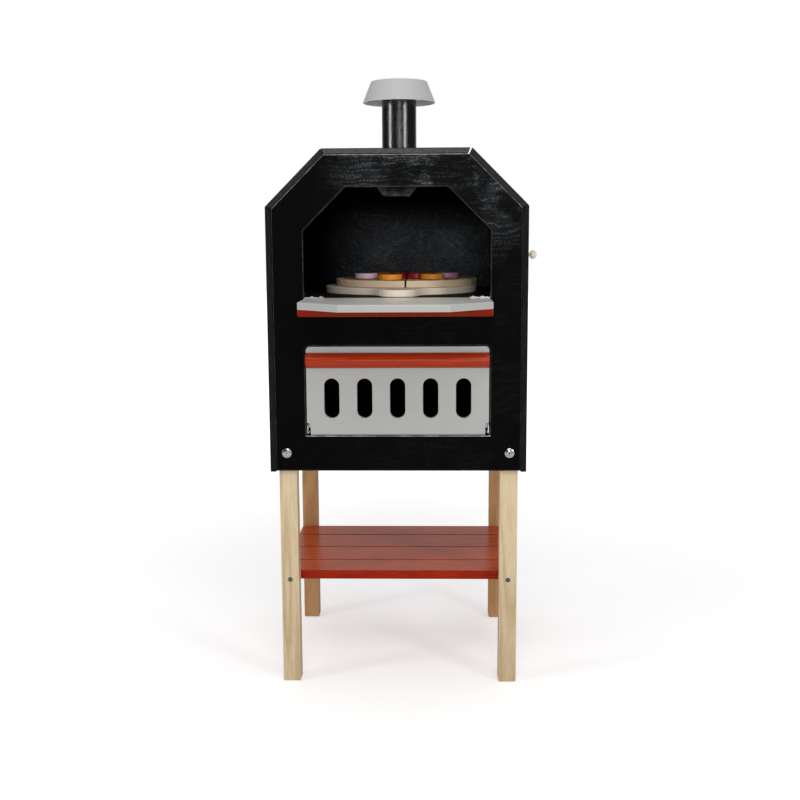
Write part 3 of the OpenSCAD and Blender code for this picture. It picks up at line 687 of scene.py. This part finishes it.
def make_screw_tree():
    """Cross-recess screws, one at each point of the places mesh, heads along its facing."""
    tree, t, given, result = geometry_tree("Cross-recess screws", [
        ("Places", "Geometry", None), ("Head Diameter", "Float", 5.0 * MM),
        ("Head Height", "Float", 1.6 * MM), ("Dome", "Float", 0.5), ("Recess", "Float", 0.5),
        ("Shank Diameter", "Float", 2.5 * MM), ("Shank Length", "Float", 8.0 * MM),
        ("Turn", "Float", 0.8), ("Turn Spread", "Float", 0.5), ("Seed", "Int", 3),
        ("Finish", "Material", None)], "Screws")
    wide, tall = given["Head Diameter"], given["Head Height"]
    radius = t.times(wide, 0.5)
    blank = t.put("GeometryNodeMeshCylinder", {
        "Vertices": 40, "Side Segments": 1, "Fill Segments": 6, "Radius": radius,
        "Depth": tall}, fill_type="TRIANGLE_FAN")
    raised = moved_up(t, blank, t.times(tall, 0.5))
    x, y, z = t.split(t.put("GeometryNodeInputPosition"))
    reach = t.math("SQRT", t.plus(t.times(x, x), t.times(y, y)))
    sunk = t.times(t.math("POWER", t.math("DIVIDE", reach, radius), 2.6), given["Dome"])
    lower = t.times(t.times(z, sunk), -1.0)
    head = t.put("GeometryNodeSetPosition", {"Geometry": raised, "Offset": t.combine(z=lower)})
    arm_long, arm_wide = t.times(wide, 0.54), t.times(wide, 0.13)
    both_ways = t.times(t.times(tall, given["Recess"]), 2.0)
    cut = t.nodes.new("GeometryNodeMeshBoolean")
    cut.operation = "DIFFERENCE"
    t.feed(cut.inputs["Mesh 1"], head)
    for along, aside in ((arm_long, arm_wide), (arm_wide, arm_long)):
        bar = t.put("GeometryNodeMeshCube", {"Size": t.combine(along, aside, both_ways)})
        t.links.new(moved_up(t, bar, tall), cut.inputs["Mesh 2"])
    shank = t.put("GeometryNodeMeshCylinder", {
        "Vertices": 20, "Radius": t.times(given["Shank Diameter"], 0.5),
        "Depth": given["Shank Length"]})
    shank = moved_up(t, shank, t.times(given["Shank Length"], -0.5))
    facing = t.put("GeometryNodeInputNamedAttribute", {"Name": "facing"}, data_type="FLOAT_VECTOR")
    aimed = t.put("FunctionNodeAlignRotationToVector", {"Vector": facing}, axis="Z")
    spin = t.put("FunctionNodeRandomValue", {
        2: 0.0, 3: given["Turn Spread"], "Seed": given["Seed"]}, 1, data_type="FLOAT")
    turn = t.put("FunctionNodeEulerToRotation", {0: t.combine(z=t.plus(spin, given["Turn"]))})
    aimed = t.put("FunctionNodeRotateRotation", {0: aimed, 1: turn}, rotation_space="LOCAL")
    spread = t.put("GeometryNodeInstanceOnPoints", {
        "Points": given["Places"], "Instance": join(t, cut.outputs[0], shank), "Rotation": aimed})
    solid = t.put("GeometryNodeRealizeInstances", {0: spread})
    t.feed(result, t.put("GeometryNodeSetMaterial", {
        "Geometry": solid, "Material": given["Finish"]}))
    return tree


def make_topping_tree():
    """Two toppings from one disc, the wide one near the crust and a narrower one near the tip."""
    tree, t, given, result = geometry_tree("Toppings on a slice", [
        ("Disc", "Geometry", None), ("Outer Place", "Vector", (0, 0, 0)),
        ("Outer Finish", "Material", None), ("Inner Place", "Vector", (0, 0, 0)),
        ("Inner Finish", "Material", None), ("Inner Width", "Float", 0.8)], "Toppings")
    narrow = t.combine(given["Inner Width"], given["Inner Width"], 1.0)
    laid = []
    for which, scale in (("Outer", EVEN), ("Inner", narrow)):
        point = t.put("GeometryNodePoints", {"Count": 1, "Position": given[which + " Place"]})
        disc = t.put("GeometryNodeInstanceOnPoints", {
            "Points": point, "Instance": given["Disc"], "Scale": scale})
        solid = t.put("GeometryNodeRealizeInstances", {0: disc})
        laid.append(t.put("GeometryNodeSetMaterial", {
            "Geometry": solid, "Material": given[which + " Finish"]}))
    t.feed(result, join(t, *laid))
    return tree


def grown(piece, tree, values):
    """Runs a geometry tree on a piece and keeps the result as its plain mesh."""
    modifier = piece.modifiers.new("grow", "NODES")
    modifier.node_group = tree
    names = {s.name: s.identifier for s in tree.interface.items_tree if s.in_out == "INPUT"}
    for name, value in values.items():
        modifier[names[name]] = value
    applied(piece)


SCREWS = make_screw_tree()
TOPPINGS = make_topping_tree()

# Head diameter, head height and shank diameter, then how domed the head and how deep its recess is
PLATE_SCREW = (4.5 * MM, 0.5 * MM, 2.4 * MM), (0.0, 0.7)
BRACKET_SCREW = (5.0 * MM, 1.6 * MM, 2.4 * MM), (0.5, 0.5)
LEG_BOLT = (15 * MM, 3 * MM, 6 * MM), (0.55, 0.6)
SHELF_SCREW = (8.5 * MM, 0.9 * MM, 4 * MM), (0.35, 0.8)
SCREW_CREASE = math.radians(35)


def drive_screws(node, facing, kind, material, turn=0.8, spread=0.5, seed=3):
    """Replaces a node of screws: facing gives the way a solid's head looks, from its centre."""
    (head, height, shank), (dome, recess) = kind
    places, ways, lengths = [], [], []
    for low, high in solids(node):
        centre = (low + high) / 2
        way = Vector(facing(centre))
        reach = abs((high - low).dot(way))
        places.append(centre + way * (reach / 2 - height))
        ways.extend(way)
        lengths.append(reach - height)
    mesh = bpy.data.meshes.new("screws_" + node)
    mesh.from_pydata(places, [], [])
    mesh.attributes.new("facing", "FLOAT_VECTOR", "POINT").data.foreach_set("vector", ways)
    piece = add_to_scene("screws_" + node, mesh)
    grown(piece, SCREWS, {
        "Head Diameter": head, "Head Height": height, "Dome": dome, "Recess": recess,
        "Shank Diameter": shank, "Shank Length": min(lengths) * 0.98,
        "Turn": turn, "Turn Spread": spread, "Seed": seed, "Finish": material})
    shade_smooth(piece.data, SCREW_CREASE)
    dress(piece, node, material)


# ---------------------------------------------------------------- the finishes of this oven

# Which faces of a board are its cut edges
FRONT_FACES = ((0, 1, 0), True)
RIMS = ((0, 1, 0), False)
LEVEL_RIMS = ((0, 0, 1), False)

# Painted light on the front: its upper band and grain crests are paler, most at the right, and its
# top arris takes a white painted highlight
STAIN_FRONT = stained_ply("stained_ply_front", GRAIN_X, RIMS, 0.66, 0.80, pale=0.6, top_arris_highlight=1.0,
                          spot=(0.07, 0.07, 0.21))
STAIN_STOP = stained_ply("stained_ply_stop", GRAIN_X, RIMS, 0.30, 0.50, pale=0.3,
                         ground_tone=0.032)
# A painted pool of light on the oven's back wall, low in the middle and fading upward, and a trace
# of painted light on the back's outer face
STAIN_BACK = stained_ply("stained_ply_back", (0.35, 1.0, 1.0), RIMS, 0.775, 0.69, pale=0.7,
                         ground_tone=0.15, crest_tone=0.45, inside=True,
                         spot=(0.03, 0.06, 0.19), patchy=0.3)
STAIN_SIDE, STAIN_SLOPE, STAIN_ROOF = (
    stained_ply("stained_ply_" + name, grain, FRONT_FACES, 0.60, 0.90, pale=0.3, cut_tone=tone)
    for name, grain, tone in (
        ("side", GRAIN_Z, 0.016), ("slope", GRAIN_Y, 0.034), ("roof", GRAIN_Y, 0.105)))
STAIN_LEVEL = stained_ply("stained_ply_level", GRAIN_X, LEVEL_RIMS, 0.30, 0.90, pale=0.3)
PIPE_BLACK = painted("chimney_black", (0.003, 0.003, 0.004), GRAIN_Z, 0.085, grain=0.004,
                     arris_colour=(0.01, 0.01, 0.01), peel_depth=0.5, level=1.0, coat=0.4, grit=0.16)
# Painted light on the doors' faces that look up, as on the open oven door's top; the lighter
# arrises are rubbed paint with a painted highlight
DOOR_GREY = painted("door_grey", (0.398, 0.400, 0.382), GRAIN_X, 0.22, grain=0.02,
                    show_through=0.05, arris_colour=(0.56, 0.56, 0.54), arris_amount=0.3,
                    over=(0.67, 0.65, 0.61))
# Painted light inside the cap, on its faces that look down; the lighter arrises are rubbed paint
# with a painted highlight on the rim
CAP_GREY = painted("cap_grey", (0.44, 0.444, 0.44), GRAIN_Z, 0.42, grain=0.01, show_through=0.04,
                   arris_colour=(0.60, 0.60, 0.58), arris_amount=0.6, under=(0.86, 0.86, 0.85))
RED_HANDLE = painted("red_handle", (0.385, 0.027, 0.002), GRAIN_X, 0.13, grain=0.03,
                     show_through=0.22, arris_colour=(0.46, 0.05, 0.012), level=0.24)
# A copy of the handle red with painted shade: its faces that look down are darker, as under the
# open oven door
RED_HANDLE_SHADED = painted("red_handle_painted_shade", (0.40, 0.030, 0.004), GRAIN_X, 0.34, grain=0.05,
                    show_through=0.22, arris_colour=(0.42, 0.04, 0.010), level=0.07,
                    under=(0.24, 0.016, 0.003))
# Painted light on the shelf's top faces through over, and painted shade in its grooves through the
# dark arris colour
RED_SHELF = painted("red_shelf", (0.38, 0.018, 0.002), GRAIN_X, 0.22, grain=0.10,
                    show_through=0.42, arris_colour=(0.16, 0.010, 0.003), arris_amount=0.7, level=0.10,
                    over=(0.86, 0.135, 0.040))
PINE = bare_wood("pine", (0.72, 0.58, 0.39), (0.50, 0.35, 0.18), GRAIN_Z, 9.0, 22.0)
# A copy of the pine for the rear legs with painted shade and a painted red reflection of the shelf
PINE_SHADED = bare_wood("pine_painted_shade", (0.70, 0.41, 0.195), (0.50, 0.255, 0.095), GRAIN_Z, 9.0, 22.0)
PINE_CLEAT = bare_wood("pine_cleat", (0.62, 0.50, 0.32), (0.46, 0.32, 0.18), GRAIN_Y)
BEECH = bare_wood("beech", (0.72, 0.66, 0.54), (0.56, 0.47, 0.34), GRAIN_X, 4.0, 40.0)
STEEL = plated_steel("hinge_steel", (0.50, 0.50, 0.51), (0.05, 1.0, 1.0), 0.34)
BLACK_STEEL = plated_steel("blackened_steel", (0.035, 0.035, 0.038), (1.0, 1.0, 0.05), 0.42)
ZINC = plated_steel("zinc_steel", (0.72, 0.72, 0.74), EVEN, 0.20)
BRIGHT_ZINC = plated_steel("bright_zinc", (0.95, 0.95, 0.97), EVEN, 0.48)
BOLT_STEEL = plated_steel("bolt_steel", (0.46, 0.46, 0.48), EVEN, 0.20)
SCREW_STEEL = plated_steel("screw_steel", (0.15, 0.15, 0.155), EVEN, 0.16)

# The outer disc on each slice: its paint's name, its colour, its flecks and how many there are
TOPPING_LOOKS = {
    "topping_1": ("topping_orange_right", (0.95, 0.34, 0.012), (1.00, 0.56, 0.08), 0.5),
    "topping_2": ("topping_mauve", (0.68, 0.29, 0.52), (0.90, 0.60, 0.78), 0.8),
    "topping_3": ("topping_brown", (0.22, 0.080, 0.050), (0.42, 0.22, 0.14), 0.6),
    "topping_4": ("topping_rust", (0.45, 0.14, 0.035), (0.62, 0.30, 0.10), 0.6),
    "topping_5": ("topping_pink", (0.98, 0.64, 0.84), (1.00, 0.80, 0.92), 0.5),
    "topping_6": ("topping_orange_left", (0.95, 0.34, 0.012), (1.00, 0.56, 0.08), 0.5),
}
TOPPING_PAINTS = {node: topping_paint(*look) for node, look in TOPPING_LOOKS.items()}
TOPPING_RED = topping_paint("topping_red", (0.42, 0.012, 0.012), (0.55, 0.05, 0.03), 0.5)


# ---------------------------------------------------------------- casing

def dress_casing():
    arris, slope_arris = 0.7 * MM, 1.2 * MM
    softened("front_panel", 1.3 * MM, STAIN_FRONT)
    softened("back_panel", arris, STAIN_BACK)
    for side in ("left", "right"):
        softened(side + "_side_panel", arris, STAIN_SIDE)
        softened(side + "_slope_panel", slope_arris, STAIN_SLOPE)
    softened("roof_panel", 1.8 * MM, STAIN_ROOF)
    for board in ("base_panel", "oven_floor"):
        softened(board, arris, STAIN_LEVEL)
    for stop in ("oven_door_stop", "store_door_stop"):
        softened(stop, 0.6 * MM, STAIN_STOP)
    softened("floor_cleats", 0.8 * MM, PINE_CLEAT)


# ---------------------------------------------------------------- doors

def half_round(node, outward):
    """A half-round bar along X with eased ends; outward is the way its round side looks."""
    low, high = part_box(node)
    out = Vector(outward)
    wide = out.cross(Vector((1, 0, 0)))
    size = high - low
    depth = abs(size.dot(out))
    half = abs(size.dot(wide)) / 2
    radius = (half * half + depth * depth) / (2 * depth)
    base = (low + high) / 2 - out * depth / 2
    swing = math.asin(min(1.0, half / radius))
    if depth > radius:
        swing = math.pi - swing
    steps = 40
    arc = [-swing + 2 * swing * k / steps for k in range(steps + 1)]
    section = [wide * radius * math.sin(a) + out * (depth - radius + radius * math.cos(a))
               for a in arc]
    bm = bmesh.new()
    ends = [[bm.verts.new(base + p + Vector((x, 0, 0))) for p in section]
            for x in (-size.x / 2, size.x / 2)]
    for k in range(steps + 1):
        after = (k + 1) % (steps + 1)
        bm.faces.new((ends[0][k], ends[0][after], ends[1][after], ends[1][k]))
    for ring in ends:
        bm.faces.new(ring)
    bmesh.ops.recalc_face_normals(bm, faces=bm.faces)
    round_arrises(bm, 1.0 * MM, 4)
    return smooth(object_from(bm, "round_" + node))


def dress_doors():
    """Both doors: at rest one lies open and the other stands closed, so their fronts differ."""
    middle = (cad_bounds[0][0] + cad_bounds[1][0]) / 2
    # The oven door's handle takes the red with painted shade
    for door, front, back, red in (("oven", (0, 0, -1), (0, 0, 1), RED_HANDLE_SHADED),
                                   ("store", (0, -1, 0), (0, 1, 0), RED_HANDLE)):
        softened(door + "_door", 1.1 * MM, DOOR_GREY, 4)
        dress(half_round(door + "_door_handle", front), door + "_door_handle", red)
        softened(door + "_hinge_brackets", 0.25 * MM, STEEL, 2)
        softened(door + "_hinge_plates", 0.2 * MM, BLACK_STEEL, 2)
        softened(door + "_hinge_pins", 0.3 * MM, ZINC, 3)
        cover(frame["nodes"][door + "_handle_dowels"].data, BEECH)
        drive_screws(door + "_plate_screws", lambda c: (1 if c.x < middle else -1, 0, 0),
                     PLATE_SCREW, ZINC)
        drive_screws(door + "_bracket_screws", lambda c: back, BRACKET_SCREW, BRIGHT_ZINC,
                     spread=1.4)


# ---------------------------------------------------------------- chimney and peg

def dress_chimney():
    """Pipe, flange and cap, turned about one axis; the cap's spigot sits in the pipe's end."""
    glue, pipe_wall, cap_wall, lid = 0.1 * MM, 3.5 * MM, 3.0 * MM, 3.8 * MM
    spigot_long, taper = 12 * MM, 13.7 * MM
    low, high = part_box("chimney_pipe")
    x, y = (low.x + high.x) / 2, (low.y + high.y) / 2
    r, tall = (high.x - low.x) / 2, high.z - low.z
    bore = r - pipe_wall
    pipe = turned("turned_pipe", [(bore, 0), (r, 0), (r, tall), (bore, tall)],
                  Vector((x, y, low.z)), 0.6 * MM)
    dress(smooth(pipe), "chimney_pipe", PIPE_BLACK)

    low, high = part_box("chimney_flange")
    hole, out, thick = r + glue, (high.x - low.x) / 2, high.z - low.z
    ring = turned("turned_flange", [(hole, 0), (out, 0), (out, thick), (hole, thick)],
                  Vector((x, y, low.z)), 0.8 * MM)
    dress(smooth(ring), "chimney_flange", STAIN_LEVEL)

    low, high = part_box("chimney_cap")
    rim, tall = (high.x - low.x) / 2, high.z - low.z
    top, spigot, under = rim - taper, bore - glue, tall - lid
    cap = turned("turned_cap", [
        (0, tall), (0, under - spigot_long), (spigot, under - spigot_long), (spigot, under),
        (top - cap_wall, under), (rim - cap_wall, 0), (rim, 0), (top, tall)],
        Vector((x, y, low.z)), 0.9 * MM, 160)
    dress(smooth(cap), "chimney_cap", CAP_GREY)


def dress_peg():
    """The peg's ball head on its stem, turned about X."""
    low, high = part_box("side_peg")
    head_r, stem_r, length = (high.z - low.z) / 2, 3.0 * MM, high.x - low.x
    centre = length - head_r
    meets_stem = -3.0 * MM
    edge = math.acos(meets_stem / head_r)
    steps = 18
    ball = [(head_r * math.sin(a), centre + head_r * math.cos(a))
            for a in (edge * (1 - k / steps) for k in range(steps))]
    profile = [(0, 0), (stem_r, 0), (stem_r, centre + meets_stem)] + ball + [(0, length)]
    peg = turned("turned_peg", profile, Vector((0, 0, 0)), 0.3 * MM, 48)
    place = Matrix.Translation((low.x, (low.y + high.y) / 2, (low.z + high.z) / 2))
    peg.data.transform(place @ Matrix.Rotation(math.radians(90), 4, "Y"))
    dress(smooth(peg), "side_peg", BEECH)


# ---------------------------------------------------------------- legs, shelf and bolts

def dress_stand():
    # The rear legs take the pine with painted shade
    for end, wood in (("front", PINE), ("rear", PINE_SHADED)):
        for side in ("left", "right"):
            softened(f"leg_{end}_{side}", 1.4 * MM, wood, 4)
    softened("shelf", 0.9 * MM, RED_SHELF)
    for end, way, seed in (("front", -1, 3), ("rear", 1, 5)):
        drive_screws(end + "_leg_bolts", lambda c: (0, way, 0), LEG_BOLT, BOLT_STEEL,
                     turn=0.5, spread=0.6, seed=seed)
    rear_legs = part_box("leg_rear_left")[0].y
    drive_screws("shelf_screws", lambda c: (0, 1 if c.y > rear_legs else -1, 0), SHELF_SCREW,
                 SCREW_STEEL, spread=1.4, seed=8)
    cover(frame["nodes"]["leg_barrel_nuts"].data, ZINC)


# ---------------------------------------------------------------- play pizza

def dress_pizza():
    paddle_ply = ply_edged("paddle_ply", (0.93, 0.83, 0.68), (0.80, 0.67, 0.50), GRAIN_Y,
                           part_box("pizza_paddle")[0].z, top_painted_reflection)
    softened("pizza_paddle", 1.2 * MM, paddle_ply, 4)
    slices = [f"pizza_slice_{k}" for k in range(1, 7)]
    boxes = [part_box(s) for s in slices]
    lowest = Vector([min(b[0][i] for b in boxes) for i in range(3)])
    highest = Vector([max(b[1][i] for b in boxes) for i in range(3)])
    middle = (lowest + highest) / 2
    crust_r = (highest.y - lowest.y) / 2 - 11 * MM
    slice_ply = ply_edged("slice_ply", (0.80, 0.66, 0.47), (0.62, 0.48, 0.31), GRAIN_X, lowest.z,
                          sauce_and_crust(tuple(middle), crust_r))
    for name in slices:
        softened(name, 1.1 * MM, slice_ply)
    for node, paint in TOPPING_PAINTS.items():
        lay_toppings(node, middle, paint)


def lay_toppings(node, middle, paint):
    """Both discs of a slice, the red one nearer the pizza's middle and smaller."""
    discs = sorted(solids(node), key=lambda pair: ((pair[0] + pair[1]) / 2 - middle).length)
    inner, outer = [Vector(((a.x + b.x) / 2, (a.y + b.y) / 2, a.z)) for a, b in discs]
    inner_r, r = [(b.x - a.x) / 2 for a, b in discs]
    thick = discs[0][1].z - discs[0][0].z
    disc = turned("laid_" + node, [(0, 0), (r, 0), (r, thick), (0, thick)],
                  Vector((0, 0, 0)), 1.0 * MM, 64)
    smooth(disc)
    grown(disc, TOPPINGS, {
        "Outer Place": outer, "Inner Place": inner, "Inner Width": inner_r / r,
        "Outer Finish": paint, "Inner Finish": TOPPING_RED})
    dress(disc, node)


# ---------------------------------------------------------------- stage, lamps and camera

# The camera that was fitted to the photo; the angles are in radians, and pitch looks down
FOCAL_PX = 1114.5
FRAME_PX = 800.0
CAMERA_PLACE = (42.8 * MM, -1800.45 * MM, 719.5 * MM)
CAMERA_YAW, CAMERA_PITCH, CAMERA_ROLL = -0.0273, 0.1496, -0.0054


def set_camera():
    data = bpy.data.cameras.new("camera")
    data.sensor_width = 36.0
    data.lens = FOCAL_PX / FRAME_PX * data.sensor_width
    data.clip_end = 50.0
    forward = Vector((math.sin(CAMERA_YAW) * math.cos(CAMERA_PITCH),
                      math.cos(CAMERA_YAW) * math.cos(CAMERA_PITCH), -math.sin(CAMERA_PITCH)))
    level = Vector((math.cos(CAMERA_YAW), -math.sin(CAMERA_YAW), 0.0))
    upright = level.cross(forward)
    right = level * math.cos(CAMERA_ROLL) + upright * math.sin(CAMERA_ROLL)
    up = upright * math.cos(CAMERA_ROLL) - level * math.sin(CAMERA_ROLL)
    turn = Matrix((right, up, -forward)).transposed()
    camera = add_to_scene("camera", data)
    camera.matrix_world = Matrix.Translation(CAMERA_PLACE) @ turn.to_4x4()
    bpy.context.scene.camera = camera


def add_lamp(name, place, aim, size, power):
    data = bpy.data.lights.new(name, "AREA")
    data.shape = "RECTANGLE"
    data.size, data.size_y = size
    data.energy = power
    lamp = add_to_scene(name, data)
    way = Vector(aim) - Vector(place)
    lamp.rotation_euler = way.to_track_quat("-Z", "Y").to_euler()
    lamp.location = place


def light_the_oven():
    """A main box high in front, tall boxes left and right, a strip ahead and a sheet overhead."""
    aim = (0.0, 0.0, 0.60)
    add_lamp("main_box", (0.1, -2.0, 2.1), aim, (1.2, 1.0), 15.5)
    add_lamp("left_box", (-2.3, -1.2, 1.15), aim, (0.5, 1.0), 13)
    add_lamp("right_box", (1.7, -1.9, 1.15), aim, (0.5, 1.0), 13)
    add_lamp("front_box", (0.15, -2.6, 0.82), aim, (0.9, 0.16), 6.5)
    add_lamp("top_box", (0.0, 0.1, 2.6), (0.0, 0.1, 0.0), (2.4, 2.4), 18)


def emptied(owner):
    """The Tree of a world or a material without its first nodes, and the kinds of ray."""
    owner.use_nodes = True
    t = Tree(owner.node_tree)
    t.nodes.clear()
    rays = t.nodes.new("ShaderNodeLightPath").outputs
    seen = t.larger(rays["Is Camera Ray"], rays["Is Transmission Ray"])
    mirrored = rays["Is Glossy Ray"]
    return t, seen, mirrored, t.minus(1.0, mirrored)


def make_world():
    """White where it is seen, a sweep from dark to light in mirrors, and a level fill."""
    world = bpy.data.worlds.new("studio")
    bpy.context.scene.world = world
    t, seen, mirrored, others = emptied(world)
    way = t.split(t.put("ShaderNodeTexCoord", out="Generated"))[1]
    sweep = t.times(mirrored, t.remap(way, 0.55, 1.0, 0.05, 0.6))
    strength = t.larger(seen, t.plus(sweep, t.times(others, 0.28)))
    back = t.put("ShaderNodeBackground", {"Color": (1, 1, 1, 1), "Strength": strength})
    t.feed(t.nodes.new("ShaderNodeOutputWorld").inputs[0], back)


def make_floor():
    """White paper that glows where the camera looks, so that it goes over into the background."""
    bm = bmesh.new()
    bmesh.ops.create_circle(bm, cap_ends=True, segments=96, radius=12.0)
    floor = object_from(bm, "floor")
    material = bpy.data.materials.new("floor_white")
    t, seen, mirrored, others = emptied(material)
    paper = t.times(t.noise(t.place(), 30.0), 0.02)
    white = t.blend(paper, (0.84, 0.84, 0.84), (0.80, 0.80, 0.80))
    diffuse = t.put("ShaderNodeBsdfDiffuse", {"Color": white})
    reach = t.vector("LENGTH", t.place(), out="Value")
    shown = t.times(t.larger(seen, t.times(mirrored, 0.3)), t.remap(reach, 0.6, 2.6, 0.45, 1.0))
    lit = t.larger(shown, t.times(others, t.remap(reach, 0.9, 1.8, 0.0, 0.8)))
    glow = t.put("ShaderNodeEmission", {"Strength": lit})
    both = t.put("ShaderNodeAddShader", {0: diffuse, 1: glow})
    t.feed(t.nodes.new("ShaderNodeOutputMaterial").inputs[0], both)
    cover(floor.data, material)


dress_casing()
dress_doors()
dress_chimney()
dress_peg()
dress_stand()
dress_pizza()
set_camera()
light_the_oven()
make_world()
make_floor()
bpy.context.scene.view_settings.view_transform = "Standard"
